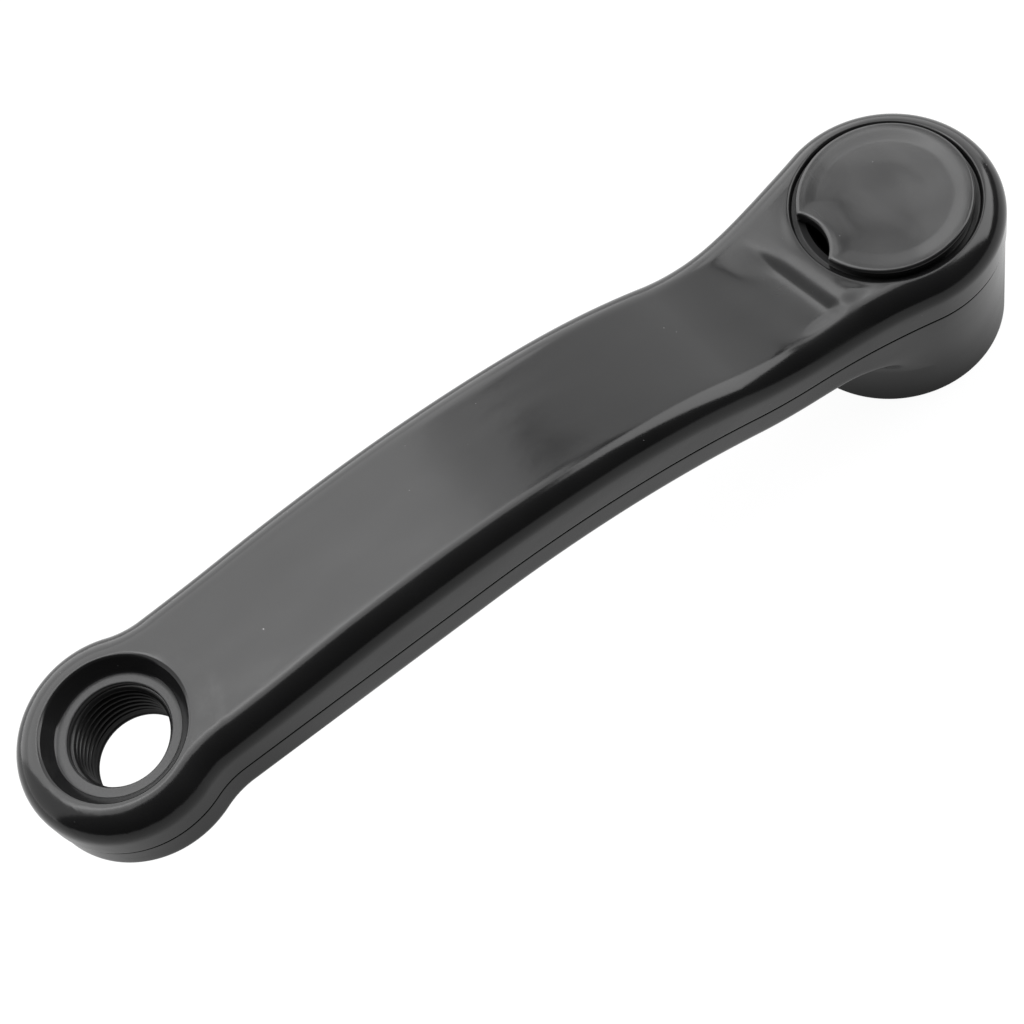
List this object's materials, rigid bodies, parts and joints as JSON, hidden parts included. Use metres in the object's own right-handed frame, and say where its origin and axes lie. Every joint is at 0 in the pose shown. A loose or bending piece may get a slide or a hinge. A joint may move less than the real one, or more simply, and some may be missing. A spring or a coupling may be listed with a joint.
{
  "type": "bicycle crank arm",
  "caption": "Left-hand bicycle crank arm for a square taper spindle: round head with a push-in dust cap, doglegged forged arm and dished pedal eye, in gloss black.",
  "frame": {"origin": "on the spindle axis, in the back face of the boss, where the square taper socket opens towards the bicycle", "axes": "+Z along the spindle axis away from the bicycle, +X along the arm from the spindle axis to the pedal axis, +Y across the arm"},
  "size_m": [0.1581, 0.0332, 0.0387],
  "materials": {
    "black_paint": "gloss black paint on forged aluminium alloy",
    "black_plastic": "black moulded plastic with a soft sheen"
  },
  "bodies": {
    "root": {"crank_arm": "black_paint", "dust_cap": "black_plastic"}
  },
  "joints": []
}
